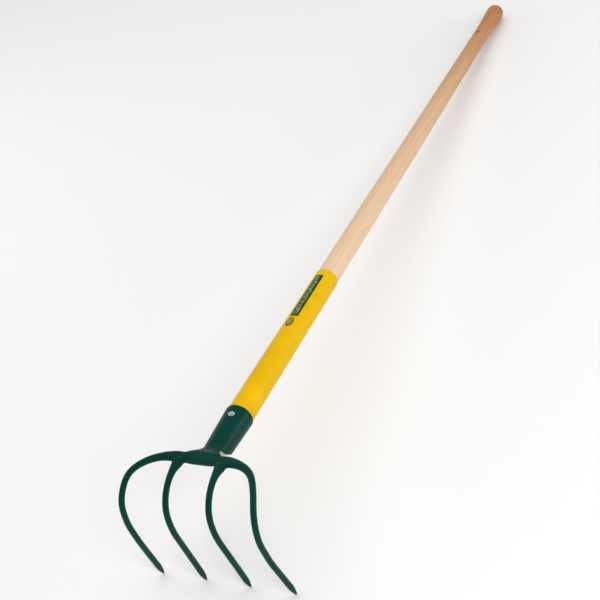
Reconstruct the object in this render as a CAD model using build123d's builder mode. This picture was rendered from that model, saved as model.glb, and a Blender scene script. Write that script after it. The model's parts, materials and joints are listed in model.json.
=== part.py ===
from build123d import *

import os
from math import asin, atan, atan2, cos, degrees, hypot, radians, sin, tan

# A four-tine drag fork: a long turned ash handle driven into the rolled socket of a steel head,
# whose round tines hook down and back towards the user.
#
# The tool has its own axes: x across the head, y along the handle towards its butt, z up and away
# from the ground that the tines point at. Their origin is the centre of the socket's mouth.
# The finished tool lies as it rests on level ground, on its tine tips and on the knob of its
# handle, and the model's origin is on the ground under the middle of its bounding box.
# All sizes are in millimetres and degrees.

# ---- handle ----
reach = 1272.0              # mouth of the socket to the end of the butt
socket_depth = 57.0         # length of wood inside the socket
mouth_radius = 17.1         # wood at the mouth of the socket
shoulder_radius = 16.6      # wood at the sleeve's upper end, where the long taper starts
neck_radius = 13.5          # wood where it is thinnest, just before the knob
neck_to_butt = 112.0
knob_radius = 16.0
hang_hole_radius = 4.5
hang_hole_to_butt = 132.0
wood_end_chamfer = 0.8

# ---- coloured sleeve and its label ----
sleeve_length = 311.0
sleeve_wall = 0.4
label_length = 100.0
label_width = 12.0
label_to_sleeve_end = 15.0
mark_length = 22.0
mark_width = 11.0
mark_to_label = 3.0
film_thickness = 0.2
handle_turn = -4.0          # how far the label and hanging hole are turned towards +x

# ---- socket ----
fit_clearance = 0.1         # between pieces that seat on each other
socket_wall = 1.8
socket_slope = 0.035        # fall of the socket's radius for each millimetre of length
socket_length = 76.0        # mouth to the place where the socket opens into its neck
socket_back_length = 50.0   # the same under the handle, where the rolled wings are shorter
wing_height = 7.0           # height over the axis at which the wings' cut edge starts
neck_half_angle = 47.0      # how much of the socket's round runs on into the neck, each side
seam_gap = 2.0              # between the two rolled edges, under the handle
rim_rounding = 0.7

# ---- crossbar ----
head_height = 17.3          # centre of the crossbar over the handle's axis
bar_to_mouth = 101.0
bar_width = 13.5
bar_thickness = 9.0
bar_corner = 1.6
bar_half_length = 31.0
neck_width = 38.0           # where the neck meets the crossbar

# ---- tines ----
tine_radius = 3.85
arm_radius = 5.0            # of the outer tines where they leave the crossbar
tip_length = 15.0
tip_radius = 1.0
tip_rounding = 0.9
root_width = 17.0           # of an inner tine's web on the crossbar
root_length = 11.0
inner_x = 28.5
inner_knee_x = 29.0
inner_front = 161.0         # foremost line of the inner hooks, from the mouth
inner_bend = 42.0
outer_arm_x = 64.0          # where the outer arm turns forward
outer_shoulder_x = 84.0     # where it turns down
outer_x = 88.5
outer_knee_x = 88.0
outer_front = 164.2
outer_bends = [46.0, 30.0, 42.0, 92.0, 300.0]
arm_end_x = 34.0
arm_sweep = 3.0             # how far the outer arm runs forward before its first bend
shoulder_to_front = 26.2
shoulder_drop = 0.5
brow_set_back = 2.2
brow_depth = 7.5            # the outer hook's upper corner, below the handle's axis
knee_depth = 45.0           # below the axis, where the inner tines turn back
outer_knee_depth = 42.0
bow_x = 88.7                # where the outer tines, still bowed, run straight on to their tips
bow_front = 152.6
bow_depth = 86.0
knee_bend_inner = 121.0
tip_depth = 167.5           # the line of the tine tips, below the axis
tip_to_mouth = 123.8
tip_pitch = 62.2            # between neighbouring tips
leg_share = 0.995           # the most of a straight leg that the bends at its ends may take up

# ---- rivet ----
rivet_to_mouth = 17.0
rivet_turn = 4.0
rivet_shank_radius = 2.4
rivet_shank_length = 24.0
rivet_head_radius = 4.2
rivet_head_height = 1.7
rivet_head_rounding = 1.4


# ---- how the tool lies ----
knob_to_mouth = reach - knob_radius
tip_y = -(tip_to_mouth + tip_radius * sin(atan((inner_front - tip_to_mouth) / (tip_depth - knee_depth))))
tip_z = -(tip_depth - tip_radius)
slope = atan2(-tip_z, knob_to_mouth - tip_y)
slope -= asin((knob_radius - tip_radius) / hypot(tip_z, knob_to_mouth - tip_y))
mouth_height = tip_radius + tip_y * sin(slope) - tip_z * cos(slope)


def ahead(y, z):
    """Distance along the ground from the mouth's centre to a point of the tool's side view."""
    return y * cos(slope) + z * sin(slope)


half_turn = atan((outer_front - bow_front) / (bow_depth - outer_knee_depth)) / 2
knee_bend = outer_bends[3]
knee_centre_z = -outer_knee_depth + knee_bend * tan(half_turn)
front = ahead(knee_bend - outer_front, knee_centre_z) - knee_bend - tine_radius
back = ahead(knob_to_mouth, 0) + knob_radius

tool = Plane(
    origin=(0, -(front + back) / 2, mouth_height),
    x_dir=(1, 0, 0),
    z_dir=(0, sin(slope), cos(slope)),
)
handle_axis = Axis(tool.origin, tool.y_dir)


def place(x, y, z):
    """A point given along the tool's own axes."""
    return tool.from_local_coords(Vector(x, y, z))


def outward(angle):
    """Direction square to the handle: the tool's z turned towards +x."""
    return tool.z_dir * cos(radians(angle)) + tool.x_dir * sin(radians(angle))


def side(angle=0.0):
    """Plane through the handle's axis: its x runs along the handle, its y is the outward direction."""
    return Plane(tool.origin, x_dir=tool.y_dir, z_dir=tool.y_dir.cross(outward(angle)))


def across(y):
    """Plane square to the handle at a distance from the mouth, with its y up."""
    return Plane(place(0, y, 0), x_dir=tool.x_dir, z_dir=-tool.y_dir)


def through(y, angle):
    """Plane on the handle's axis for a hole that is drilled square to it."""
    return Plane(place(0, y, 0), x_dir=tool.y_dir, z_dir=outward(angle))


def wood_radius(y):
    """Radius of the handle from its end in the socket to the sleeve's upper end."""
    if y < 0:
        return mouth_radius + socket_slope * y
    return mouth_radius + (shoulder_radius - mouth_radius) * y / sleeve_length


def skin(near, far, gap, thickness):
    """Corners of a thin layer over the wood, in a side plane."""
    low, high = wood_radius(near) + gap, wood_radius(far) + gap
    return [(near, low), (far, high), (far, high + thickness), (near, low + thickness)]


def toward(start, end, distance):
    """The point at a distance from start on the way to end."""
    step = Vector(*end) - Vector(*start)
    return Vector(*start) + step.normalized() * distance


def bends_that_fit(corners, bends):
    """The bends of a route, each eased only where a leg beside it is too short for it."""
    legs = [after - before for before, after in zip(corners, corners[1:])]
    taken = [bend * tan(radians(leg.get_angle(onward)) / 2) for leg, onward, bend in zip(legs, legs[1:], bends)]
    taken = [0.0, *taken, 0.0]
    ease = [min(1.0, leg_share * leg.length / (near + far)) for leg, near, far in zip(legs, taken, taken[1:])]
    return [bend * min(near, far) for bend, near, far in zip(bends, ease, ease[1:])]


# ---- handle: turned ash with a domed knob and a hole to hang it by ----
neck_y = reach - neck_to_butt
rivet_seat = wood_radius(rivet_head_radius - rivet_to_mouth) + fit_clearance + socket_wall
wood_end = (-socket_depth, wood_radius(-socket_depth))
shoulder = (sleeve_length, shoulder_radius)
neck = (neck_y, neck_radius)

with BuildPart() as handle:
    with BuildSketch(side()):
        with BuildLine():
            Polyline((reach, 0), (-socket_depth, 0), wood_end, (0, mouth_radius), shoulder, neck)
            Spline(
                neck,
                (knob_to_mouth, knob_radius),
                tangents=[(neck_y - sleeve_length, neck_radius - shoulder_radius), (1, 0)],
            )
            CenterArc((knob_to_mouth, 0), knob_radius, 0, 90)
        make_face()
    revolve(axis=handle_axis)
    chamfer(handle.edges().filter_by(GeomType.CIRCLE).sort_by(handle_axis)[0], wood_end_chamfer)
    with BuildSketch(through(reach - hang_hole_to_butt, handle_turn)):
        Circle(hang_hole_radius)
    extrude(amount=2 * knob_radius, both=True, mode=Mode.SUBTRACT)
    with BuildSketch(through(-rivet_to_mouth, rivet_turn).offset(rivet_seat - rivet_shank_length - fit_clearance)):
        Circle(rivet_shank_radius + fit_clearance)
    extrude(amount=2 * rivet_shank_length, mode=Mode.SUBTRACT)

# ---- sleeve: coloured plastic skin over the lower handle ----
with BuildPart() as sleeve:
    with BuildSketch(side()):
        with BuildLine():
            Polyline(*skin(fit_clearance, sleeve_length, 0, sleeve_wall), close=True)
        make_face()
    revolve(axis=handle_axis)

# ---- label: a thin printed panel on the sleeve, and a small mark below it ----
label_end = sleeve_length - label_to_sleeve_end
label_start = label_end - label_length
label_arc = degrees(label_width / wood_radius(label_start))
mark_end = label_start - mark_to_label
mark_start = mark_end - mark_length
mark_arc = degrees(mark_width / wood_radius(mark_start))

with BuildPart() as label_panel:
    with BuildSketch(side(handle_turn - label_arc / 2)):
        with BuildLine():
            Polyline(*skin(label_start, label_end, sleeve_wall, film_thickness), close=True)
        make_face()
    revolve(axis=handle_axis, revolution_arc=label_arc)

with BuildPart() as label_mark:
    with BuildSketch(side(handle_turn - mark_arc / 2)):
        with BuildLine():
            Polyline(*skin(mark_start, mark_end, sleeve_wall, film_thickness), close=True)
        make_face()
    revolve(axis=handle_axis, revolution_arc=mark_arc)

# ---- socket: rolled from sheet around the handle, open at the back, with a neck to the crossbar ----
bore_mouth = mouth_radius + fit_clearance
bore_end = bore_mouth - socket_slope * socket_length
neck_end_y = -(bar_to_mouth - bar_width / 2)
bar_flat = bar_thickness - 2 * bar_corner
wing_low = bore_mouth + socket_wall

with BuildPart() as socket:
    with BuildSketch(side()):
        with BuildLine():
            Polyline(
                (0, bore_mouth),
                (0, bore_mouth + socket_wall),
                (-socket_length, bore_end + socket_wall),
                (-socket_length, bore_end),
                close=True,
            )
        make_face()
    revolve(axis=handle_axis)
    mouth_circles = socket.edges().filter_by(GeomType.CIRCLE).group_by(handle_axis)[-1]
    fillet(mouth_circles.sort_by(SortBy.RADIUS)[-1], rim_rounding)
    with BuildSketch(side()):
        with BuildLine():
            Polyline(
                (-socket_length, wing_height),
                (-socket_back_length, -wing_low),
                (-2 * socket_length, -wing_low),
                (-2 * socket_length, wing_height),
                close=True,
            )
        make_face()
    extrude(amount=wing_low, both=True, mode=Mode.SUBTRACT)
    with BuildSketch(side()):
        with Locations((-socket_length / 2, -wing_low)):
            Rectangle(2 * socket_length, wing_low)
    extrude(amount=seam_gap / 2, both=True, mode=Mode.SUBTRACT)
    with BuildSketch(across(-socket_length)):
        with BuildLine():
            start, end = 90 + neck_half_angle, 90 - neck_half_angle
            outer_arc = CenterArc((0, 0), bore_end + socket_wall, start, end - start)
            inner_arc = CenterArc((0, 0), bore_end, start, end - start)
            Line(outer_arc @ 0, inner_arc @ 0)
            Line(outer_arc @ 1, inner_arc @ 1)
        make_face()
    with BuildSketch(across(neck_end_y)):
        with Locations((0, head_height)):
            Rectangle(neck_width, bar_flat)
    loft()
    with BuildSketch(through(-rivet_to_mouth, rivet_turn)):
        Circle(rivet_shank_radius + fit_clearance)
    extrude(amount=2 * wing_low, mode=Mode.SUBTRACT)

# ---- rivet: domed head on the socket, shank into the wood ----
with BuildPart() as socket_rivet:
    with BuildSketch(through(-rivet_to_mouth, rivet_turn).offset(rivet_seat - rivet_shank_length)):
        Circle(rivet_shank_radius)
    extrude(amount=rivet_shank_length)
    with BuildSketch(through(-rivet_to_mouth, rivet_turn).offset(rivet_seat)):
        Circle(rivet_head_radius)
    extrude(amount=rivet_head_height)
    rivet_axis = Axis(tool.origin, outward(rivet_turn))
    fillet(socket_rivet.edges().filter_by(GeomType.CIRCLE).sort_by(rivet_axis)[-1], rivet_head_rounding)

# ---- crossbar: forged bar that carries the four tines ----
arm_start = (arm_end_x, -bar_to_mouth, head_height)
arm_bend = (outer_arm_x, -(bar_to_mouth + arm_sweep), head_height)
sides = {"right": 1, "left": -1}


def tine_points(route, sign):
    """A tine's route in the model's axes, for the right (1) or the left (-1) of the head."""
    return [place(sign * x, y, z) for x, y, z in route]


with BuildPart() as crossbar:
    with BuildSketch(Plane(place(0, -bar_to_mouth, head_height), x_dir=tool.z_dir, z_dir=tool.x_dir)):
        RectangleRounded(bar_thickness, bar_width, bar_corner)
    extrude(amount=bar_half_length, both=True)
    for sign in sides.values():
        start, corner = tine_points([arm_start, arm_bend], sign)
        with BuildSketch(Plane(start, z_dir=start - corner)):
            Circle(arm_radius)
        extrude(amount=arm_end_x - bar_half_length + arm_radius)

# ---- tines: round bar, bent to a hook and drawn to a short point ----
root_y = -(bar_to_mouth + bar_width / 2)
tine_end = (-tip_to_mouth, -tip_depth)
inner_route = [
    (inner_x, root_y - root_length, head_height),
    (inner_x, -inner_front, head_height),
    (inner_knee_x, -inner_front, -knee_depth),
    (tip_pitch / 2, *tine_end),
]
outer_route = [
    arm_start,
    arm_bend,
    (outer_shoulder_x, shoulder_to_front - outer_front, head_height - shoulder_drop),
    (outer_x, brow_set_back - outer_front, -brow_depth),
    (outer_knee_x, -outer_front, -outer_knee_depth),
    (bow_x, -bow_front, -bow_depth),
    (3 * tip_pitch / 2, *tine_end),
]
inner_bends = [inner_bend, knee_bend_inner]
taper = degrees(atan((tine_radius - tip_radius) / tip_length))

tines = {}
for hand, sign in sides.items():
    for row, route, bends in (("inner", inner_route, inner_bends), ("outer", outer_route, outer_bends)):
        points = tine_points(route, sign)
        points[-1] = toward(points[-1], points[-2], tip_length)
        with BuildPart() as tine:
            with BuildLine() as path:
                FilletPolyline(*points, radius=bends_that_fit(points, bends))
            with BuildSketch(Plane(path.wire() @ 0, z_dir=path.wire() % 0)):
                Circle(tine_radius)
            sweep(path=path.wire())
            with BuildSketch(Plane(path.wire() @ 1, z_dir=path.wire() % 1)):
                Circle(tine_radius)
            extrude(amount=tip_length, taper=taper)
            lowest = tine.edges().filter_by(GeomType.CIRCLE).sort_by(Axis.Z)[0]
            fillet(lowest, tip_rounding)
            if row == "inner":
                root = place(sign * inner_x, root_y, head_height)
                with BuildSketch(Plane(root, x_dir=tool.x_dir, z_dir=-tool.y_dir)):
                    Ellipse(root_width / 2, bar_flat / 2)
                with BuildSketch(Plane(path.wire() @ 0, x_dir=tool.x_dir, z_dir=-tool.y_dir)):
                    Circle(tine_radius)
                loft()
        tines[f"tine_{row}_{hand}"] = tine

# ---- every finished piece ----
pieces = {
    "handle": handle,
    "sleeve": sleeve,
    "label_panel": label_panel,
    "label_mark": label_mark,
    "socket": socket,
    "socket_rivet": socket_rivet,
    "crossbar": crossbar,
    **tines,
}
os.makedirs("parts", exist_ok=True)
for name, piece in pieces.items():
    piece.part.label = name
    export_step(piece.part, f"parts/{name}.step")
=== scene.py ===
"""A four-tine drag fork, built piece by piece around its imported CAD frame.

The tool's own axes are used for every shape: x across the head, y along the handle towards the
butt, z away from the ground that the tines point at, with their origin at the centre of the
socket's mouth. Distances "forward" run from there towards the tines. The sizes written with mm
are in millimetres, and everything handed to Blender is in metres.
"""
import json
import math

import bmesh
import bpy
from mathutils import Matrix, Vector


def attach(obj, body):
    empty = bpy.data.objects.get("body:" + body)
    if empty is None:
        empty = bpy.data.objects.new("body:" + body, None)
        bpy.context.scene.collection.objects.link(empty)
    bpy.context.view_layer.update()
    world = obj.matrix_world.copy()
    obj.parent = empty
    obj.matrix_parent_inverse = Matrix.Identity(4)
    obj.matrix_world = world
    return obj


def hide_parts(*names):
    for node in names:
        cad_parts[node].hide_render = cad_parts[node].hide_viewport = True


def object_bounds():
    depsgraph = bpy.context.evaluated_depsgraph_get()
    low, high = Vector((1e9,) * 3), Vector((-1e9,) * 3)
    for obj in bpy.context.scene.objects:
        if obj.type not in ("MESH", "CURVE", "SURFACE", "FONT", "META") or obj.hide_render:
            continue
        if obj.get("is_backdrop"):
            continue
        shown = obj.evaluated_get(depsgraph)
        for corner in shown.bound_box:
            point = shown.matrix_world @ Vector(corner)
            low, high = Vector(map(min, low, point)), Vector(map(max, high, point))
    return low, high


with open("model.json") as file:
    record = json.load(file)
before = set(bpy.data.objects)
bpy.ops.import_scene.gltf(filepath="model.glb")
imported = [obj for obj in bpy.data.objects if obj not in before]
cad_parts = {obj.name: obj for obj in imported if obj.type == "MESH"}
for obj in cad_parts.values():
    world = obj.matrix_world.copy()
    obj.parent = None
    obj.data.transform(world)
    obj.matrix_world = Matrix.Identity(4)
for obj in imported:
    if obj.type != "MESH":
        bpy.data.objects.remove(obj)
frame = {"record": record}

bl_info = {
    "name": "Drag fork",
    "version": (1, 0, 0),
    "blender": (4, 5, 0),
    "location": "3D View > Sidebar > Drag fork",
    "description": "Builds a four-tine drag fork: ash handle, sleeve and label, steel head and rivet",
    "category": "Add Mesh",
}

MM = 0.001
TINE_SIDES = {"right": 1, "left": -1}

mounts = {m["name"]: m for m in frame["record"]["mounts"]}
GRIP_FROM_MOUTH = 0.760
HOLE_FROM_MOUTH = 1.140
along_handle = Vector(mounts["handle_grip"]["axis"]).normalized()
tool_z = Vector((1, 0, 0)).cross(along_handle)
mouth = Vector(mounts["handle_grip"]["pos_m"]) - along_handle * GRIP_FROM_MOUTH
slope = math.atan2(-along_handle.z, along_handle.y)
to_world = Matrix((
    (1, 0, 0, mouth.x),
    (0, along_handle.y, tool_z.y, mouth.y),
    (0, along_handle.z, tool_z.z, mouth.z),
    (0, 0, 0, 1),
))


def size(name, text, default):
    """A length that a user may change, given in millimetres and kept in metres."""
    return bpy.props.FloatProperty(name=name, description=text, default=default * MM, unit="LENGTH",
                                   precision=4)


def paint(name, text, default):
    """A colour that a user may change."""
    return bpy.props.FloatVectorProperty(name=name, description=text, default=default, size=3,
                                         subtype="COLOR", min=0, max=1)


# --- Node trees: expressions on sockets ---

class Value:
    """A socket that can be used in an expression; every operator adds a Math node."""

    def __init__(self, tree, socket):
        self.tree, self.socket = tree, socket

    def __add__(self, other):
        return self.tree.math("ADD", self, other)

    def __sub__(self, other):
        return self.tree.math("SUBTRACT", self, other)

    def __rsub__(self, other):
        return self.tree.math("SUBTRACT", other, self)

    def __mul__(self, other):
        return self.tree.math("MULTIPLY", self, other)

    def __truediv__(self, other):
        return self.tree.math("DIVIDE", self, other)

    def __rtruediv__(self, other):
        return self.tree.math("DIVIDE", other, self)

    __radd__ = __add__
    __rmul__ = __mul__


class Nodes:
    """Adds nodes to one tree. Inputs are numbers, tuples or Values, by name or by position."""

    def __init__(self, tree):
        self.tree = tree

    def add(self, kind, settings=None, stops=None, **inputs):
        """One node: its settings first, then a ramp's stops, then its sockets. Returns the node."""
        node = self.tree.nodes.new(kind)
        for key, value in (settings or {}).items():
            setattr(node, key, value)
        if stops:
            ramp = node.color_ramp
            while len(ramp.elements) < len(stops):
                ramp.elements.new(1.0)
            for element, (place, colour) in zip(ramp.elements, stops):
                element.position = place
                element.color = (*colour, 1.0)
        for key, value in inputs.items():
            socket = node.inputs[int(key[1:])] if key[0] == "i" and key[1:].isdigit() else node.inputs[key]
            if isinstance(value, Value):
                self.tree.links.new(value.socket, socket)
            else:
                socket.default_value = value
        return node

    def out(self, kind, output=0, **rest):
        """One output of a new node, as a Value."""
        return Value(self, self.add(kind, **rest).outputs[output])

    def math(self, operation, a, b=0.0):
        return self.out("ShaderNodeMath", settings={"operation": operation}, i0=a, i1=b)

    def ranged(self, value, low, high, new_low=0.0, new_high=1.0, how="LINEAR"):
        """Value carried from one range into another and held inside it."""
        node = self.add("ShaderNodeMapRange", settings={"interpolation_type": how, "clamp": True}, **{
            "Value": value, "From Min": low, "From Max": high, "To Min": new_low, "To Max": new_high})
        return Value(self, node.outputs["Result"])

    def blend(self, factor, first, second):
        """Colour between two colours."""
        node = self.add("ShaderNodeMix", settings={"data_type": "RGBA"}, i0=factor, i6=first, i7=second)
        return Value(self, node.outputs[2])


class Finish(Nodes):
    """A material made of nodes, on the tool's own axes."""

    def __init__(self, name):
        self.material = bpy.data.materials.new(name)
        self.material.use_nodes = True
        super().__init__(self.material.node_tree)
        self.tree.nodes.clear()
        self.output = self.add("ShaderNodeOutputMaterial")
        self.shader = self.add("ShaderNodeBsdfPrincipled")
        self.tree.links.new(self.shader.outputs[0], self.output.inputs["Surface"])
        offset = to_world.to_3x3().inverted() @ mouth
        point = self.add("ShaderNodeTexCoord").outputs["Object"]
        self.point = self.out("ShaderNodeMapping", Vector=Value(self, point),
                              Rotation=(slope, 0, 0), Location=tuple(-offset))
        parts = self.add("ShaderNodeSeparateXYZ", Vector=self.point)
        self.x, self.y, self.z = (Value(self, socket) for socket in parts.outputs)

    def stretched(self, x, y, z):
        """The tool's coordinates with each axis scaled, for a pattern drawn out along one of them."""
        return self.out("ShaderNodeVectorMath", settings={"operation": "MULTIPLY"},
                        i0=self.point, i1=(x, y, z))

    def noise(self, vector, scale, detail=2.0, roughness=0.5, distortion=0.0):
        return self.out("ShaderNodeTexNoise", Vector=vector, Scale=scale, Detail=detail,
                        Roughness=roughness, Distortion=distortion)

    def spread(self, noise, new_low=0.0, new_high=1.0):
        """A noise carried from the values that it mostly keeps to into another range."""
        return self.ranged(noise, *NOISE_RANGE, new_low, new_high)

    def bump(self, height, strength, distance):
        node = self.add("ShaderNodeBump", Height=height, Strength=strength, Distance=distance)
        self.set(Normal=Value(self, node.outputs[0]))

    def set(self, **inputs):
        """Sets or links sockets of the surface shader, with _ for a space in their names."""
        for key, value in inputs.items():
            socket = self.shader.inputs[key.replace("_", " ")]
            if isinstance(value, Value):
                self.tree.links.new(value.socket, socket)
            else:
                socket.default_value = value


def shade(colour, factor):
    """A colour made darker or lighter, ready for a colour socket."""
    return (*(min(channel * factor, 1.0) for channel in colour), 1.0)


# --- Making pieces ---

def piece(name, mesh, material, slot, *nodes):
    """A finished piece: it rides on the tool, takes the finish that it is given and stands for CAD nodes;
    its slot is not used.
    """
    thing = bpy.data.objects.new(name, mesh)
    bpy.context.scene.collection.objects.link(thing)
    mesh.materials.clear()
    mesh.materials.append(material)
    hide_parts(*nodes)
    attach(thing, "root")
    return thing


def plain_mesh(thing, name):
    """The object's mesh as its modifiers leave it, with the object removed."""
    graph = bpy.context.evaluated_depsgraph_get()
    mesh = bpy.data.meshes.new_from_object(thing.evaluated_get(graph), depsgraph=graph)
    mesh.name = name
    bpy.data.objects.remove(thing)
    return mesh


def smooth_shaded(mesh, angle):
    """Shades a mesh smooth, with every edge sharper than the angle kept sharp."""
    shape = bmesh.new()
    shape.from_mesh(mesh)
    for face in shape.faces:
        face.smooth = True
    for edge in shape.edges:
        edge.smooth = len(edge.link_faces) == 2 and edge.calc_face_angle(0) < math.radians(angle)
    shape.to_mesh(mesh)
    shape.free()
    return mesh


def closed_form(shape, name):
    """The mesh of a closed form, with its faces turned outwards."""
    bmesh.ops.recalc_face_normals(shape, faces=shape.faces)
    mesh = bpy.data.meshes.new(name)
    shape.to_mesh(mesh)
    shape.free()
    return mesh


def turned(name, outline, sides):
    """A closed ring of a closed outline, given as (y, radius) in metres, turned about the handle's axis."""
    shape = bmesh.new()
    rings = []
    for y, radius in outline:
        ring = []
        for k in range(sides):
            turn = 2 * math.pi * k / sides
            point = Vector((radius * math.sin(turn), y, radius * math.cos(turn)))
            ring.append(shape.verts.new(to_world @ point))
        rings.append(ring)
    for ring, following in zip(rings, rings[1:] + rings[:1]):
        for k in range(sides):
            after = (k + 1) % sides
            shape.faces.new((ring[k], ring[after], following[after], following[k]))
    return closed_form(shape, name)


# --- Steel head ---

SOCKET_MOUTH_MM = 19.0  # outer radius at the mouth
SOCKET_FALL = 0.035  # fall of that radius for each millimetre forward
SOCKET_WALL_MM = 1.8
SOCKET_TURNS = (0, 23.5, 47, 72, 98, 124, 150, 171, 176.5)  # degrees from the top, each way
WING_ENDS_MM = (75, 75, 75, 75.5, 68, 59, 53.5, 50.5, 50)  # how far forward each reaches
SOCKET_ROWS = (0, 0.02, 0.12, 0.35, 0.6, 0.84, 0.98, 1)  # shares of that length
SHEET_CRISP, MOUTH_CRISP = 1.5, 1.0  # creases of its cut edges and its mouth
NECK_COLUMNS = 2
SOCKET_NECK_ROWS = 2  # rows of the neck on the socket's side

# forward, half width, height of the crown, height of the edges, thickness: between socket and bar
NECK_MM = ((79.5, 13.4, 17.0, 13.6, 2.4), (84.0, 14.8, 18.2, 16.4, 3.7),
           (88.3, 17.6, 19.8, 19.2, 5.4), (91.6, 21.0, 21.0, 20.8, 7.2))

BAR_FORWARD_MM = (94.3, 101.2, 107.8)  # rear edge, middle, front edge
BAR_HEIGHT_MM = 17.1
BAR_HALF_THICKNESS_MM = 4.5
# from the middle outwards: how far each column stands from it at those three
BAR_COLUMNS_MM = ((0, 0, 0), (11, 9, 7.5), (24.5, 19.5, 14.5), (27.5, 22.7, 18.2), (29.8, 25.7, 22.0),
                  (32.3, 30, 28.5), (35.5, 35, 35))
BAR_CRISP = (1.6, 1.6, 0.8)  # of its front edges, column by column
ROOT_COLUMN = 5  # the inner tine's middle column
CROSSBAR_ROOT_RINGS = 3  # of an inner tine, on the bar's side

INNER_ROUTE_MM = ((28.5, 107.8, 16.5), (28.5, 161, 17.3), (29, 161, -45), (31.1, 123.8, -167.5))
INNER_BENDS_MM = (42, 121)
OUTER_ROUTE_MM = ((31, 101.2, 17.4), (64, 104, 17.8), (84, 138, 17.2), (88.5, 162, -7.5),
                  (88, 164.2, -42), (88.7, 152.6, -86), (93.3, 123.8, -167.5))
OUTER_BENDS_MM = (46, 30, 42, 92, 300)
ROOT_RINGS_MM = (4, 9, 15, 22)  # distances of the first sections along each route
ARM_RINGS_MM = (9, 16, 24)

# distance along the tine: half width, half height, squareness of the section's corners
ROOT_SHAPE_MM = ((4, 7.0, 5.2, 0.8), (9, 5.9, 4.9, 0.76), (15, 4.8, 4.5, 0.72), (24, 4.1, 4.1, 0.707),
                 (34, 3.85, 3.85, 0.707))
ARM_SHAPE_MM = ((9, 6.8, 4.6, 0.86), (16, 6.2, 4.6, 0.78), (24, 5.5, 4.5, 0.707), (34, 4.9, 4.4, 0.707),
                (46, 4.4, 4.2, 0.707), (60, 4.05, 4.0, 0.707), (75, 3.85, 3.85, 0.707))
# distance from the tip: radius
TIP_SHAPE_MM = ((0, 0.9), (3, 1.85), (7, 2.5), (11, 3.1), (15.5, 3.65), (21, 3.85))
RING_GAP_MM = 8.0
ROUND = math.sqrt(0.5)
SHRINK = (2 + math.cos(math.radians(45))) / 3  # what smoothing leaves of an eight-cornered ring
CRISP_LEVELS = 10  # subdivision steps that a full crease holds
SMOOTHING_STEPS = 3

PARTS = ("socket", "crossbar", "tine_inner_right", "tine_inner_left", "tine_outer_right", "tine_outer_left")


def ahead_point(x, forward, z):
    """A point in tool millimetres from its distance forward of the mouth."""
    return Vector((x, -forward, z))


def table_at(table, distance):
    """The row of a table at a distance, with straight lines between its rows."""
    if distance <= table[0][0]:
        return table[0][1:]
    for low, high in zip(table, table[1:]):
        if distance <= high[0]:
            share = (distance - low[0]) / (high[0] - low[0])
            return tuple(a + (b - a) * share for a, b in zip(low[1:], high[1:]))
    return table[-1][1:]


def rounded(corners, bends):
    """Points about a millimetre apart on straights joined by arcs."""
    points = [corners[0]]
    for before, corner, after, bend in zip(corners, corners[1:], corners[2:], bends):
        inward, onward = (before - corner).normalized(), (after - corner).normalized()
        half = inward.angle(onward) / 2
        turn = math.pi - 2 * half
        centre = corner + (inward + onward).normalized() * bend / math.sin(half)
        first = corner + inward * bend / math.tan(half) - centre
        last = corner + onward * bend / math.tan(half) - centre
        count = max(2, round(bend * turn))
        for k in range(count + 1):
            share = k / count
            swung = first * math.sin((1 - share) * turn) + last * math.sin(share * turn)
            points.append(centre + swung / math.sin(turn))
    points.append(corners[-1])
    return points


def stations(points, distances):
    """(point, direction) at each distance along a line of points."""
    found, passed, k = [], 0.0, 0
    for distance in distances:
        while k < len(points) - 2 and passed + (points[k + 1] - points[k]).length < distance:
            passed += (points[k + 1] - points[k]).length
            k += 1
        step = points[k + 1] - points[k]
        found.append((points[k] + step.normalized() * (distance - passed), step.normalized()))
    return found


class Cage:
    """A coarse plate of four-sided cells in three layers, which subdivision turns into the forging."""

    def __init__(self):
        self.layers, self.cells, self.crisp = {}, [], {}

    def put(self, key, top, bottom, middle=None):
        self.layers[key] = (top, middle or (top + bottom) / 2, bottom)

    def mirror(self, key, source):
        self.layers[key] = tuple(Vector((-p.x, p.y, p.z)) for p in self.layers[source])

    def cell(self, part, *keys):
        self.cells.append((PARTS.index(part), keys))

    def crease(self, first, second, levels):
        """Holds an edge, on the top and the bottom, for so many steps of subdivision."""
        self.crisp[frozenset((first, second))] = math.sqrt(levels / CRISP_LEVELS)

    def mesh(self, name):
        """The closed coarse mesh, in metres, with its creases and the part of each face."""
        places = {(key, layer): point for key, layers in self.layers.items()
                  for layer, point in enumerate(layers)}
        faces, parts, walls = [], [], {}
        for part, keys in self.cells:
            for layer, order in ((0, keys), (2, keys[::-1])):
                faces.append([(key, layer) for key in order])
                parts.append(part)
            for a, b in zip(keys, keys[1:] + keys[:1]):
                if walls.pop((b, a), None) is None:
                    walls[a, b] = part
        for (a, b), part in walls.items():
            for upper, lower in ((0, 1), (1, 2)):
                faces.append([(a, upper), (a, lower), (b, lower), (b, upper)])
                parts.append(part)
        used = sorted({corner for face in faces for corner in face}, key=str)
        index = {corner: k for k, corner in enumerate(used)}
        mesh = bpy.data.meshes.new(name)
        mesh.from_pydata([to_world @ (places[corner] * MM) for corner in used], [],
                         [[index[corner] for corner in face] for face in faces])
        mesh.update(calc_edges=True)
        mesh.attributes.new("part", "INT", "FACE").data.foreach_set("value", parts)
        held = mesh.attributes.new("crease_edge", "FLOAT", "EDGE").data
        for edge in mesh.edges:
            (a, layer_a), (b, layer_b) = (used[k] for k in edge.vertices)
            if layer_a == layer_b != 1:
                held[edge.index].value = self.crisp.get(frozenset((a, b)), 0.0)
        return mesh


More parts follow.
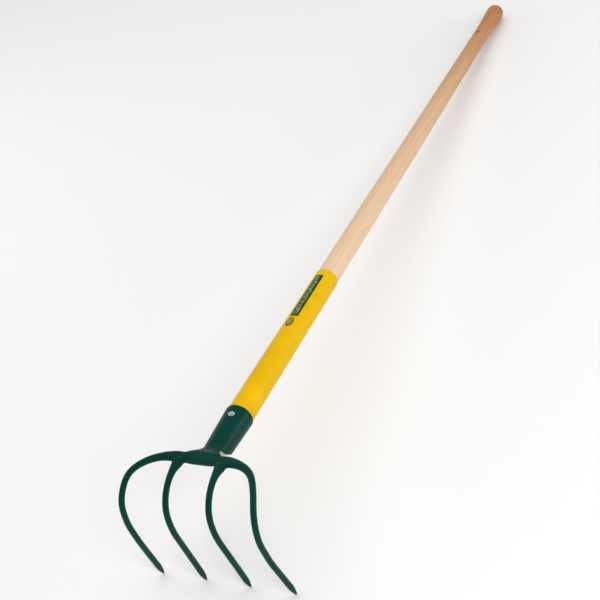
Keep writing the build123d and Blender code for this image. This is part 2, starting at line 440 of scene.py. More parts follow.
def add_socket(cage):
    """The rolled sheet: columns round the handle, rows from the mouth to the cut edge of the wings."""
    last = len(SOCKET_TURNS) - 1
    for column in range(-last, last + 1):
        steps = abs(column)
        turn = math.copysign(math.radians(SOCKET_TURNS[steps]), column)
        before, after = (math.radians(SOCKET_TURNS[abs(k)]) for k in (steps - 1, min(steps + 1, last)))
        before = math.copysign(before, steps - 1)
        # the share of its radius that smoothing leaves a column between its two neighbours
        keeps = 1.0
        if steps < last:
            keeps = (math.cos(abs(turn) - before) + 4 + math.cos(after - abs(turn))) / 6
        for row, share in enumerate(SOCKET_ROWS):
            forward = share * WING_ENDS_MM[steps]
            outer = (SOCKET_MOUTH_MM - SOCKET_FALL * forward) / keeps
            inner = outer - SOCKET_WALL_MM / keeps
            cage.put(("socket", row, column),
                     ahead_point(outer * math.sin(turn), forward, outer * math.cos(turn)),
                     ahead_point(inner * math.sin(turn), forward, inner * math.cos(turn)))
    rows = len(SOCKET_ROWS) - 1
    for row in range(rows):
        for column in range(-last, last):
            cage.cell("socket", ("socket", row, column), ("socket", row + 1, column),
                      ("socket", row + 1, column + 1), ("socket", row, column + 1))
        for column in (-last, last):
            cage.crease(("socket", row, column), ("socket", row + 1, column), SHEET_CRISP)
    for column in range(-last, last):
        cage.crease(("socket", 0, column), ("socket", 0, column + 1), MOUTH_CRISP)
        if min(abs(column), abs(column + 1)) >= NECK_COLUMNS:
            cage.crease(("socket", rows, column), ("socket", rows, column + 1), SHEET_CRISP)


def add_neck(cage):
    """From the socket's top to the bar's rear edge, flattening and thickening on the way."""
    columns = range(-NECK_COLUMNS, NECK_COLUMNS + 1)
    rows = [[("socket", len(SOCKET_ROWS) - 1, column) for column in columns]]
    for row, (forward, half, crown, edge, thick) in enumerate(NECK_MM):
        keys = []
        for column in columns:
            share = column / NECK_COLUMNS
            top = ahead_point(half * share, forward, crown + (edge - crown) * share ** 2)
            cage.put(("neck", row, column), top, top - Vector((0, 0, thick)))
            keys.append(("neck", row, column))
        rows.append(keys)
    rows.append([("bar", 0, column) for column in columns])
    for number, (near, far) in enumerate(zip(rows, rows[1:])):
        part = "socket" if number < SOCKET_NECK_ROWS else "crossbar"
        for k in range(len(near) - 1):
            cage.cell(part, near[k], far[k], far[k + 1], near[k + 1])


def put_section(cage, keys, centre, across, up, shape):
    """Rear, middle and front corner of a bar's section, its top and bottom included."""
    wide, high, corner = shape
    swell = 1 + (1 / SHRINK - 1) * (1 - corner) / (1 - ROUND)
    wide, high = wide * swell, high * swell
    cage.put(keys[1], centre + up * high, centre - up * high)
    for key, sign in ((keys[0], -1), (keys[2], 1)):
        edge = centre + across * (sign * wide * corner)
        cage.put(key, edge + up * (high * corner), edge - up * (high * corner),
                 centre + across * (sign * wide))


def add_tine(cage, route, bends, distances, table, across, keys_of):
    """Sections along a bent route, for the right side of the head."""
    line = rounded([ahead_point(*corner) for corner in route], bends)
    length = sum((b - a).length for a, b in zip(line, line[1:]))
    body_end = length - TIP_SHAPE_MM[-1][0]
    gaps = round((body_end - distances[-1]) / RING_GAP_MM)
    spread = [distances[-1] + (body_end - distances[-1]) * k / gaps for k in range(1, gaps)]
    tip = [length - row[0] for row in reversed(TIP_SHAPE_MM)]
    where = [*distances, *spread, *tip]
    up = Vector((0, 0, 1))
    for ring, (distance, (centre, direction)) in enumerate(zip(where, stations(line, where))):
        across = (across - direction * across.dot(direction)).normalized()
        up = (up - direction * up.dot(direction) - across * up.dot(across)).normalized()
        shape = table_at(table, distance)
        if length - distance <= TIP_SHAPE_MM[-1][0]:
            radius, = table_at(TIP_SHAPE_MM, length - distance)
            shape = (radius, radius, ROUND)
        put_section(cage, keys_of(ring), centre, across, up, shape)
    return len(where)


def add_bar(cage):
    """The crossbar, and its arms as they run on into the outer tines."""
    last = len(BAR_COLUMNS_MM) - 1
    for column, places in enumerate(BAR_COLUMNS_MM):
        for row, (x, forward) in enumerate(zip(places, BAR_FORWARD_MM)):
            key = ("bar", row, column)
            cage.put(key, ahead_point(x, forward, BAR_HEIGHT_MM + BAR_HALF_THICKNESS_MM),
                     ahead_point(x, forward, BAR_HEIGHT_MM - BAR_HALF_THICKNESS_MM))
    rings = add_tine(cage, OUTER_ROUTE_MM, OUTER_BENDS_MM, ARM_RINGS_MM, ARM_SHAPE_MM, Vector((0, -1, 0)),
                     lambda ring: [("bar", row, last + 1 + ring) for row in range(3)])
    end = last + rings
    for column in range(1, end + 1):
        for row in range(3):
            cage.mirror(("bar", row, -column), ("bar", row, column))
    for column in range(-end, end):
        reach = max(abs(column), abs(column + 1))
        hand = "right" if column >= 0 else "left"
        part = "crossbar" if reach <= last + 1 else f"tine_outer_{hand}"
        for row in range(2):
            cage.cell(part, ("bar", row, column), ("bar", row + 1, column),
                      ("bar", row + 1, column + 1), ("bar", row, column + 1))
        if reach <= len(BAR_CRISP):
            cage.crease(("bar", 2, column), ("bar", 2, column + 1), BAR_CRISP[reach - 1])


def add_inner_tines(cage):
    """The two inner hooks, which leave the front edge of the bar through a web."""
    def keys_of(ring):
        return [("inner", ring, side) for side in (-1, 0, 1)]

    rings = add_tine(cage, INNER_ROUTE_MM, INNER_BENDS_MM, ROOT_RINGS_MM, ROOT_SHAPE_MM,
                     Vector((1, 0, 0)), keys_of)
    for ring in range(rings):
        for side in (-1, 0, 1):
            cage.mirror(("inner left", ring, -side), ("inner", ring, side))
    for hand, sign in TINE_SIDES.items():
        name = "inner" if sign > 0 else "inner left"
        near = [("bar", 2, sign * ROOT_COLUMN + side) for side in (-1, 0, 1)]
        for ring in range(rings):
            far = [(name, ring, side) for side in (-1, 0, 1)]
            part = "crossbar" if ring < CROSSBAR_ROOT_RINGS else f"tine_inner_{hand}"
            for k in range(2):
                cage.cell(part, near[k], far[k], far[k + 1], near[k + 1])
            near = far


def split_off(mesh, number, name):
    """The faces of one part as a closed mesh of its own, with the cuts capped inside the joints."""
    shape = bmesh.new()
    shape.from_mesh(mesh)
    layer = shape.faces.layers.int["part"]
    bmesh.ops.delete(shape, geom=[f for f in shape.faces if f[layer] != number], context="FACES")
    for face in shape.faces:
        face.smooth = True
    cut = [edge for edge in shape.edges if edge.is_boundary]
    for edge in cut:
        edge.smooth = False
    capped = bmesh.ops.holes_fill(shape, edges=cut, sides=0)["faces"]
    bmesh.ops.triangulate(shape, faces=capped)
    shape.faces.layers.int.remove(shape.faces.layers.int["part"])
    result = bpy.data.meshes.new(name)
    shape.to_mesh(result)
    shape.free()
    return result


# --- Finishes ---

NOISE_RANGE = (0.3, 0.7)  # the values that a noise mostly keeps to
STEEL_GLOSS, WOOD_GLOSS, SKIN_GLOSS, FILM_GLOSS = 0.08, 0.08, 0.06, 0.15
WOOD_DEEPENS_FROM = 0.37  # metres from the mouth towards the butt
END_GRAIN = (-0.06, -0.05)  # metres from the mouth, where pale cut wood begins
FILM_ROUGHNESS = (0.34, 0.44)
PRINT_FADE = 0.0008  # width over which a printed edge fades, in metres


def enamel(name, colour):
    """Dark stove enamel over forged steel: a soft gloss with a faint orange peel."""
    made = Finish(name)
    broad = made.noise(made.point, 18.0, detail=3.0)
    peel = made.noise(made.point, 900.0, detail=1.0)
    scale = made.noise(made.point, 130.0, detail=4.0, roughness=0.6)
    made.set(Base_Color=made.blend(made.spread(broad), shade(colour, 0.82), shade(colour, 1.2)),
             Roughness=made.spread(scale, 0.3, 0.42), Specular_IOR_Level=STEEL_GLOSS)
    made.bump(peel * 0.35 + scale, 0.12, 0.0006)
    return made.material


def ash_wood(name, colours, butt):
    """Turned ash: long grain streaks, fine pores, and a tone that deepens towards the butt."""
    made = Finish(name)
    wander = made.noise(made.stretched(1, 0.08, 1), 30.0, detail=2.0)
    streaks = made.noise(made.stretched(1, 0.03, 1), 300.0, detail=5.0, roughness=0.65, distortion=0.4)
    pores = made.noise(made.stretched(1, 0.012, 1), 1500.0, detail=2.0)
    rings = made.math("SINE", (made.x + wander * 0.02) * 900.0) * 0.5 + 0.5
    grain = made.ranged(streaks * 0.85 + rings * 0.15, 0.3, 0.75)
    deep = made.math("POWER", made.ranged(made.y + wander * 0.1, WOOD_DEEPENS_FROM, butt + 0.05), 1.6)
    light = made.blend(grain, shade(colours.wood_pale, 1.0), shade(colours.wood_tan, 1.0))
    heavy = made.blend(grain, shade(colours.wood_warm, 1.0), shade(colours.wood_dark, 1.0))
    tone = made.blend(deep, light, heavy)
    tone = made.blend(made.ranged(made.y, *END_GRAIN, 1.0, 0.0), tone, shade(colours.wood_cut, 1.0))
    fleck = made.ranged(pores, 0.62, 0.75)
    made.set(Base_Color=made.blend(fleck * 0.2, tone, shade(colours.wood_dark, 0.8)),
             Roughness=made.spread(streaks, 0.45, 0.62), Specular_IOR_Level=WOOD_GLOSS)
    made.bump(streaks * 0.6 - fleck * 0.4, 0.25, 0.0003)
    return made.material


def dipped_plastic(name, colour):
    """Yellow plastic skin: satin, slightly uneven where it shrank on the wood."""
    made = Finish(name)
    ripple = made.noise(made.stretched(1, 0.25, 1), 60.0, detail=2.0)
    cloud = made.noise(made.point, 35.0, detail=3.0)
    made.set(Base_Color=made.blend(made.spread(cloud), shade(colour, 0.93), shade(colour, 1.04)),
             Roughness=made.spread(ripple, 0.36, 0.48), Specular_IOR_Level=SKIN_GLOSS)
    made.bump(ripple, 0.15, 0.0008)
    return made.material


def printed_film(name, ground, ink, middle, half_length, half_width, turn):
    """Film on the sleeve: a plain border of one colour round a mottled patch of another."""
    made = Finish(name)
    beside = made.math("ABSOLUTE", made.x - turn)
    along = made.math("ABSOLUTE", made.y - middle)
    inside = made.ranged(along, half_length - PRINT_FADE, half_length, 1.0, 0.0)
    inside = inside * made.ranged(beside, half_width - PRINT_FADE, half_width, 1.0, 0.0)
    mottle = made.noise(made.point, 300.0, detail=2.0)
    grain = made.noise(made.point, 900.0, detail=2.0)
    flecked = inside * made.ranged(mottle, 0.4, 0.58, 0.05, 1.0)
    made.set(Base_Color=made.blend(flecked, shade(ground, 1.0), shade(ink, 1.0)),
             Roughness=made.spread(grain, *FILM_ROUGHNESS), Specular_IOR_Level=FILM_GLOSS)
    made.bump(grain, 0.05, 0.0003)
    return made.material


def ringed_film(name, ground, ring, heart, middle, half_length, half_width, turn):
    """Film with the sleeve's ground colour, one plain oval ring and a soft oval heart inside it."""
    made = Finish(name)
    along, beside = (made.y - middle) * (1 / half_length), (made.x - turn) * (1 / half_width)
    out = made.math("SQRT", along * along + beside * beside)
    smudge = made.noise(made.point, 500.0, detail=2.0)
    band = made.ranged(out, 0.42, 0.55) * made.ranged(out, 0.93, 1.0, 1.0, 0.0)
    band = band * made.ranged(smudge, 0.35, 0.6, 0.45, 1.0)
    colour = made.blend(made.ranged(out, 0.4, 0.5, 1.0, 0.0), shade(ground, 1.0), shade(heart, 1.0))
    made.set(Base_Color=made.blend(band, colour, shade(ring, 1.0)),
             Roughness=made.spread(smudge, *FILM_ROUGHNESS), Specular_IOR_Level=FILM_GLOSS)
    return made.material


def bright_zinc(name, colour):
    """Zinc plating with the fine dents of the rivet hammer."""
    made = Finish(name)
    dents = made.noise(made.point, 700.0, detail=3.0)
    made.set(Base_Color=made.blend(made.spread(dents), shade(colour, 0.85), shade(colour, 1.05)),
             Metallic=0.85, Roughness=made.spread(dents, 0.25, 0.45))
    made.bump(dents, 0.3, 0.0004)
    return made.material


def studio_floor(name, colour):
    """Pale seamless floor."""
    made = Finish(name)
    cloud = made.noise(made.point, 2.0, detail=2.0)
    made.set(Base_Color=made.blend(cloud, shade(colour, 0.99), shade(colour, 1.0)), Roughness=0.8)
    return made.material


# --- Turned handle, made by Geometry Nodes ---

HANDLE_RINGS, HANDLE_SIDES = 320, 97
MERGE_WITHIN, DOUBLES_WITHIN = 5e-6, 1e-6  # metres: in the node tree, and in its finished mesh
DRILL_SIDES, DRILL_LENGTH = 64, 0.1
FILM_COLUMNS, FILM_ROWS = 16, 28
FILM_END = 0.02  # share of its width that a rounded end keeps
SHARPER_THAN = {"handle": 35, "sleeve": 50, "film": 40, "rivet": 40}  # degrees; such edges stay sharp


def handle_tree(material):
    """A node tree that turns the handle's outline and drills its hanging hole."""
    tree = bpy.data.node_groups.new("Turned handle", "GeometryNodeTree")
    made = Nodes(tree)
    tree.interface.new_socket("Geometry", in_out="INPUT", socket_type="NodeSocketGeometry")
    lengths = ("Wood end", "Sleeve end", "Neck", "Knob centre", "Mouth radius", "Shoulder radius",
               "Neck radius", "Knob radius", "Hole position", "Hole radius")
    for name in lengths:
        tree.interface.new_socket(name, in_out="INPUT", socket_type="NodeSocketFloat").subtype = "DISTANCE"
    tree.interface.new_socket("Hole turn", in_out="INPUT", socket_type="NodeSocketFloat").subtype = "ANGLE"
    for name in ("Rings", "Sides"):
        tree.interface.new_socket(name, in_out="INPUT", socket_type="NodeSocketInt")
    tree.interface.new_socket("Geometry", in_out="OUTPUT", socket_type="NodeSocketGeometry")
    source = made.add("NodeGroupInput")
    given = {socket.name: Value(made, socket) for socket in source.outputs if socket.name}

    grid = made.out("GeometryNodeMeshGrid", **{
        "Size X": 1.0, "Size Y": 1.0, "Vertices X": given["Rings"], "Vertices Y": given["Sides"]})
    place = made.add("ShaderNodeSeparateXYZ", i0=made.out("GeometryNodeInputPosition"))
    first_step = 1.0 / (given["Rings"] - 1.0)
    along = Value(made, place.outputs[0]) + 0.5
    turn = (Value(made, place.outputs[1]) + 0.5) * (2 * math.pi)
    closing = made.ranged(along, 0.0, first_step)
    share = made.ranged(along, first_step, 1.0)
    butt = given["Knob centre"] + given["Knob radius"]
    y = given["Wood end"] + (butt - given["Wood end"]) * made.math("SINE", share * (math.pi / 2))
    sunk = made.ranged(y, given["Wood end"], 0.0, given["Wood end"], 0.0)
    inside = given["Mouth radius"] + sunk * SOCKET_FALL
    sleeved = made.ranged(y, 0.0, given["Sleeve end"],
                          0.0, given["Shoulder radius"] - given["Mouth radius"])
    tapered = made.ranged(y, given["Sleeve end"], given["Neck"],
                          0.0, given["Neck radius"] - given["Shoulder radius"])
    swelled = made.ranged(y, given["Neck"], given["Knob centre"],
                          0.0, given["Knob radius"] - given["Neck radius"], how="SMOOTHSTEP")
    past = made.math("MAXIMUM", y - given["Knob centre"], 0.0)
    room = made.math("MAXIMUM", given["Knob radius"] * given["Knob radius"] - past * past, 0.0)
    radius = made.math("MINIMUM", inside + sleeved + tapered + swelled, made.math("SQRT", room)) * closing
    wrapped = made.out("ShaderNodeCombineXYZ", X=radius * made.math("SINE", turn), Y=y,
                       Z=radius * made.math("COSINE", turn))
    body = made.out("GeometryNodeSetPosition", Geometry=grid, Position=wrapped)
    closed = made.out("GeometryNodeMergeByDistance", Geometry=body, Distance=MERGE_WITHIN)

    drill = made.out("GeometryNodeMeshCylinder", Vertices=DRILL_SIDES, Radius=given["Hole radius"],
                     Depth=DRILL_LENGTH)
    spin = made.out("ShaderNodeCombineXYZ", Y=given["Hole turn"])
    where = made.out("ShaderNodeCombineXYZ", Y=given["Hole position"])
    drilled = made.add("GeometryNodeMeshBoolean", settings={"operation": "DIFFERENCE", "solver": "EXACT"})
    tree.links.new(closed.socket, drilled.inputs["Mesh 1"])
    turned_drill = made.out("GeometryNodeTransform", Geometry=drill, Translation=where, Rotation=spin)
    tree.links.new(turned_drill.socket, drilled.inputs["Mesh 2"])
    whole = made.out("GeometryNodeRealizeInstances", Geometry=Value(made, drilled.outputs["Mesh"]))
    done = made.out("GeometryNodeSetMaterial", Geometry=whole, Material=material)
    made.add("NodeGroupOutput", Geometry=done)
    return tree


def from_tree(tree, name, values):
    """The mesh that a node tree makes with these inputs."""
    carrier = bpy.data.objects.new(name + "_tree", bpy.data.meshes.new(name + "_tree"))
    bpy.context.scene.collection.objects.link(carrier)
    modifier = carrier.modifiers.new(tree.name, "NODES")
    modifier.node_group = tree
    for item in tree.interface.items_tree:
        if item.in_out == "INPUT" and item.name in values:
            modifier[item.identifier] = values[item.name]
    return plain_mesh(carrier, name)


def outward_faces(mesh):
    """Merges doubles and turns every face outwards."""
    shape = bmesh.new()
    shape.from_mesh(mesh)
    bmesh.ops.remove_doubles(shape, verts=shape.verts, dist=DOUBLES_WITHIN)
    bmesh.ops.recalc_face_normals(shape, faces=shape.faces)
    shape.to_mesh(mesh)
    shape.free()
    return mesh


def film(name, start, end, width, turn, corner, seat, thick):
    """A thin panel with rounded corners laid on a round surface, closed all round."""
    shape = bmesh.new()
    spans = []
    for k in range(FILM_ROWS + 1):
        share = (1 - math.cos(math.pi * k / FILM_ROWS)) / 2
        y = start + (end - start) * share
        room = min(y - start, end - y)
        cut = corner - math.sqrt(max(corner ** 2 - (corner - room) ** 2, 0.0)) if room < corner else 0.0
        spans.append((y, max(width / 2 - cut, FILM_END * width)))
    layers = []
    for lift in (0.0, thick):
        grid = []
        for y, half in spans:
            line = []
            for c in range(FILM_COLUMNS + 1):
                angle = turn + half * (2 * c / FILM_COLUMNS - 1) / seat(y)
                radius = seat(y) + lift
                point = Vector((radius * math.sin(angle), y, radius * math.cos(angle)))
                line.append(shape.verts.new(to_world @ point))
            grid.append(line)
        layers.append(grid)
    below, above = layers
    for grid in layers:
        for near, far in zip(grid, grid[1:]):
            for c in range(FILM_COLUMNS):
                shape.faces.new((near[c], near[c + 1], far[c + 1], far[c]))
    for c in range(FILM_COLUMNS):
        for row in (0, -1):
            shape.faces.new((below[row][c], below[row][c + 1], above[row][c + 1], above[row][c]))
    for k in range(FILM_ROWS):
        for c in (0, -1):
            shape.faces.new((below[k][c], below[k + 1][c], above[k + 1][c], above[k][c]))
    return smooth_shaded(closed_form(shape, name), SHARPER_THAN["film"])


# --- Sizes and colours ---

class ForkSizes(bpy.types.PropertyGroup):
    """Sizes of the handle, its sleeve and label, and the rivet."""

    wood_end: size("Wood end", "From the mouth towards the butt to the wood's end in the socket", -57)
    sleeve_end: size("Sleeve end", "From the socket's mouth to the sleeve's upper end", 311)
    neck: size("Neck", "From the mouth to the thinnest place of the handle", 1160)
    knob_centre: size("Knob centre", "From the mouth to the centre of the knob", 1256)
    mouth_radius: size("Mouth radius", "Wood at the socket's mouth", 17.1)
    shoulder_radius: size("Shoulder radius", "Wood at the sleeve's upper end", 16.6)
    neck_radius: size("Neck radius", "Wood at its thinnest", 13.5)
    knob_radius: size("Knob radius", "Domed end of the handle", 16.0)
    hole_radius: size("Hole radius", "Hanging hole", 4.5)
    hole_turn: bpy.props.FloatProperty(name="Hole turn", description="How far the hole and films are turned",
                                       default=math.radians(-4), unit="ROTATION")
    sleeve_wall: size("Sleeve wall", "Thickness of the plastic skin", 0.4)
    label_start: size("Label start", "From the mouth to the label", 196)
    label_end: size("Label end", "From the mouth to the label's far end", 296)
    label_width: size("Label width", "Measured round the sleeve", 12)
    mark_start: size("Mark start", "From the mouth to the small mark", 171)
    mark_end: size("Mark end", "From the mouth to the mark's far end", 193)
    mark_width: size("Mark width", "Measured round the sleeve", 11)
    film_thickness: size("Film thickness", "Thickness of the label and mark", 0.2)
    rivet_forward: size("Rivet", "From the mouth forward to the rivet", 17)
    rivet_turn: bpy.props.FloatProperty(name="Rivet turn", description="Angle of the rivet from the top",
                                        default=math.radians(4), unit="ROTATION")
    rivet_radius: size("Rivet radius", "Domed head of the rivet", 4.2)
    rivet_height: size("Rivet height", "Height of the domed head", 1.9)


class ForkColours(bpy.types.PropertyGroup):
    """Colours of the finishes."""

    enamel: paint("Enamel", "Dark green enamel of the head", (0.001, 0.041, 0.030))
    sleeve: paint("Sleeve", "Yellow plastic of the sleeve", (0.80, 0.47, 0.003))
    label: paint("Label", "Dark green of the label", (0.004, 0.036, 0.008))
    label_band: paint("Label band", "Paler flecks inside the label", (0.21, 0.32, 0.13))
    wood_pale: paint("Pale wood", "Early wood near the sleeve", (0.83, 0.61, 0.43))
    wood_tan: paint("Tan wood", "Late wood near the sleeve", (0.74, 0.51, 0.30))
    wood_dark: paint("Dark wood", "Late wood at the far end", (0.36, 0.135, 0.042))
    wood_warm: paint("Warm wood", "Early wood at the far end", (0.52, 0.22, 0.07))
    wood_cut: paint("Cut wood", "Fresh end grain", (0.85, 0.74, 0.56))
    zinc: paint("Zinc", "Plating of the rivet", (0.75, 0.77, 0.78))
    floor: paint("Floor", "Studio floor", (0.95, 0.95, 0.95))


SLEEVE_START_MM = 0.1  # its gap to the socket's mouth
# distance from the sleeve's nearer end: share of its wall that is there
SLEEVE_FOOT_MM = ((0, 0.7), (0.3, 1.0))
SLEEVE_LIP_MM = ((1.2, 1.0), (0.5, 0.85), (0, 0.35))
SLEEVE_SPANS, SLEEVE_SIDES = 12, 128
LABEL_CORNER_MM = 1.5
LABEL_BORDER_MM = (2.4, 2.6)  # across, and at its two ends

RIVET_SHANK_MM = (2.4, 24)  # radius, and depth below the socket's surface
RIVET_SUNK_MM = 0.6  # depth of the head's underside below that surface
RIVET_UNDERSIDE = 0.97  # its radius there, as a share of the head's
RIVET_RIM = 0.25  # share of the head's height below its dome
RIVET_CENTRE = 0.0001  # radius of the flat spot at each end, in metres
RIVET_SIDES = 48


def wood_radius(sizes, y):
    """Radius of the wood under the sleeve."""
    return sizes.mouth_radius + (sizes.shoulder_radius - sizes.mouth_radius) * y / sizes.sleeve_end


# --- Operators ---

class FORK_OT_handle(bpy.types.Operator):
    """Turns the ash handle with its knob and hanging hole"""

    bl_idname = "fork.handle"
    bl_label = "Handle"

    def execute(self, context):
        sizes, colours = context.scene.fork_sizes, context.scene.fork_colours
        butt = sizes.knob_centre + sizes.knob_radius
        wood = ash_wood("Ash", colours, butt)
        tree = handle_tree(wood)
        mesh = from_tree(tree, "handle_turned", {
            "Wood end": sizes.wood_end, "Sleeve end": sizes.sleeve_end, "Neck": sizes.neck,
            "Knob centre": sizes.knob_centre, "Mouth radius": sizes.mouth_radius,
            "Shoulder radius": sizes.shoulder_radius, "Neck radius": sizes.neck_radius,
            "Knob radius": sizes.knob_radius, "Hole position": HOLE_FROM_MOUTH,
            "Hole radius": sizes.hole_radius, "Hole turn": sizes.hole_turn,
            "Rings": HANDLE_RINGS, "Sides": HANDLE_SIDES})
        mesh.transform(to_world)
        mesh = smooth_shaded(outward_faces(mesh), SHARPER_THAN["handle"])
        piece("handle_turned", mesh, wood, "ash", "handle")
        return {"FINISHED"}


class FORK_OT_sleeve(bpy.types.Operator):
    """Draws the yellow plastic skin over the lower handle"""

    bl_idname = "fork.sleeve"
    bl_label = "Sleeve"

    def execute(self, context):
        sizes, colours = context.scene.fork_sizes, context.scene.fork_colours
        wall, end = sizes.sleeve_wall, sizes.sleeve_end
        start = SLEEVE_START_MM * MM
        outer = [(start + past * MM, share) for past, share in SLEEVE_FOOT_MM]
        outer += [(end * k / SLEEVE_SPANS, 1.0) for k in range(1, SLEEVE_SPANS)]
        outer += [(end - short * MM, share) for short, share in SLEEVE_LIP_MM]
        outline = [(y, wood_radius(sizes, y) + wall * share) for y, share in outer]
        outline += [(y, wood_radius(sizes, y)) for y in (end, end / 2, start)]
        mesh = smooth_shaded(turned("sleeve_skin", outline, SLEEVE_SIDES), SHARPER_THAN["sleeve"])
        finish = dipped_plastic("Yellow plastic", colours.sleeve)
        piece("sleeve_skin", mesh, finish, "sleeve_yellow", "sleeve")
        return {"FINISHED"}


class FORK_OT_label(bpy.types.Operator):
    """Lays the label film and the small mark on the sleeve"""

    bl_idname = "fork.label"
    bl_label = "Label and mark"

    def execute(self, context):
        sizes, colours = context.scene.fork_sizes, context.scene.fork_colours

        def seat(y):
            return wood_radius(sizes, y) + sizes.sleeve_wall

        start, end, width = sizes.label_start, sizes.label_end, sizes.label_width
        across, ends = (border * MM for border in LABEL_BORDER_MM)
        panel = film("label_film", start, end, width, sizes.hole_turn, LABEL_CORNER_MM * MM, seat,
                     sizes.film_thickness)
        finish = printed_film("Label film", colours.label, colours.label_band, (start + end) / 2,
                              (end - start) / 2 - ends, width / 2 - across,
                              math.sin(sizes.hole_turn) * seat(start))
        piece("label_film", panel, finish, "label_green", "label_panel")
        start, end, width = sizes.mark_start, sizes.mark_end, sizes.mark_width
        mark = film("mark_film", start, end, width, sizes.hole_turn, width / 2, seat,
                    sizes.film_thickness)
        finish = ringed_film("Mark film", colours.sleeve, colours.label, colours.label_band,
                             (start + end) / 2, (end - start) / 2, width / 2,
                             math.sin(sizes.hole_turn) * seat(start))
        piece("mark_film", mark, finish, "label_green", "label_mark")
        return {"FINISHED"}


class FORK_OT_head(bpy.types.Operator):
    """Forges the head: socket, crossbar and the four tines, cut from one smooth form"""

    bl_idname = "fork.head"
    bl_label = "Steel head"

    def execute(self, context):
        cage = Cage()
        add_socket(cage)
        add_bar(cage)
        add_neck(cage)
        add_inner_tines(cage)
        coarse = bpy.data.objects.new("head_cage", cage.mesh("head_cage"))
        context.scene.collection.objects.link(coarse)
        smoothing = coarse.modifiers.new("Forging", "SUBSURF")
        smoothing.levels = smoothing.render_levels = SMOOTHING_STEPS
        smooth = plain_mesh(coarse, "head_smooth")
        finish = enamel("Green enamel", context.scene.fork_colours.enamel)
        for number, part in enumerate(PARTS):
            name = part + "_forged"
            piece(name, split_off(smooth, number, name), finish, "painted_steel", part)
        bpy.data.meshes.remove(smooth)
        return {"FINISHED"}


class FORK_OT_rivet(bpy.types.Operator):
    """Sets the domed rivet near the socket's mouth"""

    bl_idname = "fork.rivet"
    bl_label = "Rivet"

    def execute(self, context):
        sizes, colours = context.scene.fork_sizes, context.scene.fork_colours
        forward, radius, height = sizes.rivet_forward, sizes.rivet_radius, sizes.rivet_height
        seat = (SOCKET_MOUTH_MM - SOCKET_FALL * forward / MM) * MM
        place = to_world @ Matrix.Translation((0, -forward, 0)) @ Matrix.Rotation(sizes.rivet_turn, 4, "Y")
        shank, depth = (measure * MM for measure in RIVET_SHANK_MM)
        under = seat - RIVET_SUNK_MM * MM
        outline = [(RIVET_CENTRE, seat - depth), (shank, seat - depth), (shank, under),
                   (radius * RIVET_UNDERSIDE, under), (radius, seat)]
        for degrees in range(0, 90, 9):
            rise = RIVET_RIM + (1 - RIVET_RIM) * math.sin(math.radians(degrees))
            outline.append((radius * math.cos(math.radians(degrees)), seat + height * rise))
        outline.append((RIVET_CENTRE, seat + height))
        shape = bmesh.new()
        turns = [2 * math.pi * k / RIVET_SIDES for k in range(RIVET_SIDES)]
        rings = [[shape.verts.new(place @ Vector((r * math.cos(turn), r * math.sin(turn), z)))
                  for turn in turns] for r, z in outline]
        for near, far in zip(rings, rings[1:]):
            for k in range(RIVET_SIDES):
                after = (k + 1) % RIVET_SIDES
                shape.faces.new((near[k], near[after], far[after], far[k]))
        shape.faces.new(rings[0])
        shape.faces.new(rings[-1])
        mesh = smooth_shaded(closed_form(shape, "rivet_domed"), SHARPER_THAN["rivet"])
        piece("rivet_domed", mesh, bright_zinc("Bright zinc", colours.zinc), "zinc", "socket_rivet")
        return {"FINISHED"}


# The camera stands in front of the head, to its right and above it, and is given on the tool's axes.
CAMERA_MM = (726.53, -1092.94, 974.44)
CAMERA_RIGHT = (0.911, 0.365, -0.191)
CAMERA_DOWN = (0.054, -0.565, -0.823)
CAMERA_LENS_MM = 78.0
CAMERA_SHIFT = (-0.0011, 0.0009)
SENSOR_MM = 36.0

# name, position from the tool's middle in metres, size in metres, power in watts, seen in reflections
SOFT_LIGHTS = (("overhead", (-0.8, 1.0, 5.0), 7.0, 150.0, False),
               ("front", (1.5, -1.9, 1.7), 1.2, 30.0, False),
               ("right_strip", (1.5, 0.73, 0.3), 0.55, 5.0, True),
               ("left_strip", (-1.5, -0.2, 0.6), 0.8, 2.5, True))
FLOOR_HALF = 12.0  # metres from its middle to each side
HORIZON, ZENITH = 0.9, 0.4  # strength of the room's light at eye level and overhead
GLOW_FADE = (0.12, 0.5)  # heights, as sines, between which it falls from one to the other


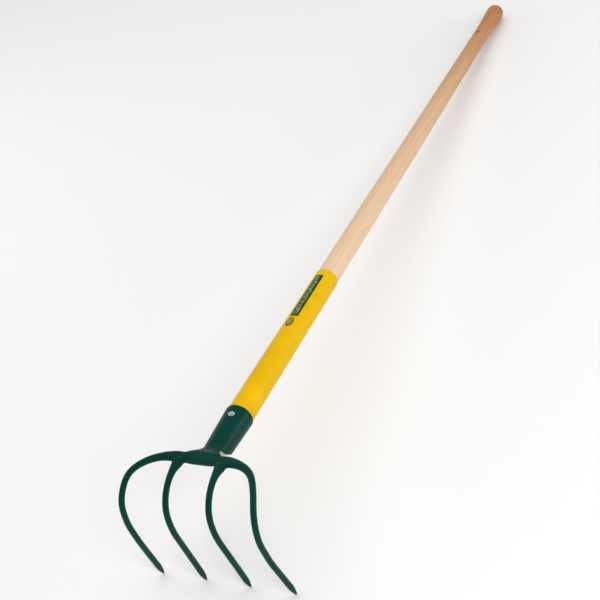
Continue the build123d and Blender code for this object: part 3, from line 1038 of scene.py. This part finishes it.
class FORK_OT_stage(bpy.types.Operator):
    """Lays the floor and sets the soft lights and the camera"""

    bl_idname = "fork.stage"
    bl_label = "Stage"

    def execute(self, context):
        scene = context.scene
        low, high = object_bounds()
        middle = (Vector(low) + Vector(high)) / 2
        mesh = bpy.data.meshes.new("floor")
        signs = ((-1, -1), (1, -1), (1, 1), (-1, 1))
        corners = [(x * FLOOR_HALF, y * FLOOR_HALF, low[2]) for x, y in signs]
        mesh.from_pydata(corners, [], [(0, 1, 2, 3)])
        mesh.materials.append(studio_floor("Pale floor", scene.fork_colours.floor))
        floor = bpy.data.objects.new("floor", mesh)
        scene.collection.objects.link(floor)
        floor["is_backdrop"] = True
        for name, offset, width, power, shines in SOFT_LIGHTS:
            lamp = bpy.data.lights.new(name, "AREA")
            lamp.shape, lamp.size, lamp.energy = "DISK", width, power
            light = bpy.data.objects.new(name, lamp)
            light.location = middle + Vector(offset)
            light.rotation_euler = (-Vector(offset)).to_track_quat("-Z", "Y").to_euler()
            light.visible_glossy = shines
            scene.collection.objects.link(light)
        world = bpy.data.worlds.new("Studio")
        world.use_nodes = True
        world.node_tree.nodes.clear()
        room = Nodes(world.node_tree)
        height = Value(room, room.add("ShaderNodeTexCoord").outputs["Generated"])
        height = Value(room, room.add("ShaderNodeSeparateXYZ", Vector=height).outputs[2])
        glow = room.out("ShaderNodeBackground", Strength=room.ranged(height, *GLOW_FADE, HORIZON, ZENITH))
        room.add("ShaderNodeOutputWorld", Surface=glow)
        scene.world = world
        scene.view_settings.view_transform = "Standard"
        lens = bpy.data.cameras.new("camera")
        lens.lens, lens.sensor_width = CAMERA_LENS_MM, SENSOR_MM
        lens.shift_x, lens.shift_y = CAMERA_SHIFT
        camera = bpy.data.objects.new("camera", lens)
        right, up = Vector(CAMERA_RIGHT).normalized(), -Vector(CAMERA_DOWN).normalized()
        back = right.cross(up).normalized()
        up = back.cross(right)
        turn = to_world.to_3x3() @ Matrix((right, up, back)).transposed()
        camera.matrix_world = Matrix.Translation(to_world @ (Vector(CAMERA_MM) * MM)) @ turn.to_4x4()
        scene.collection.objects.link(camera)
        scene.camera = camera
        return {"FINISHED"}


class FORK_PT_panel(bpy.types.Panel):
    """Lists the sizes, the colours and the operators"""

    bl_idname = "FORK_PT_panel"
    bl_label = "Drag fork"
    bl_space_type = "VIEW_3D"
    bl_region_type = "UI"
    bl_category = "Drag fork"

    def draw(self, context):
        for group in (context.scene.fork_sizes, context.scene.fork_colours):
            box = self.layout.box()
            for key in group.__annotations__:
                box.prop(group, key)
        for operator in OPERATORS:
            self.layout.operator(operator.bl_idname)


OPERATORS = (FORK_OT_handle, FORK_OT_sleeve, FORK_OT_label, FORK_OT_head, FORK_OT_rivet, FORK_OT_stage)
CLASSES = (ForkSizes, ForkColours, *OPERATORS, FORK_PT_panel)


def register():
    for made in CLASSES:
        bpy.utils.register_class(made)
    bpy.types.Scene.fork_sizes = bpy.props.PointerProperty(type=ForkSizes)
    bpy.types.Scene.fork_colours = bpy.props.PointerProperty(type=ForkColours)


def unregister():
    del bpy.types.Scene.fork_colours
    del bpy.types.Scene.fork_sizes
    for made in reversed(CLASSES):
        bpy.utils.unregister_class(made)


def main():
    """Builds the whole fork."""
    register()
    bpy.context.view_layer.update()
    for operator in OPERATORS:
        family, name = operator.bl_idname.split(".")
        getattr(getattr(bpy.ops, family), name)()


if __name__ == "__main__":
    main()
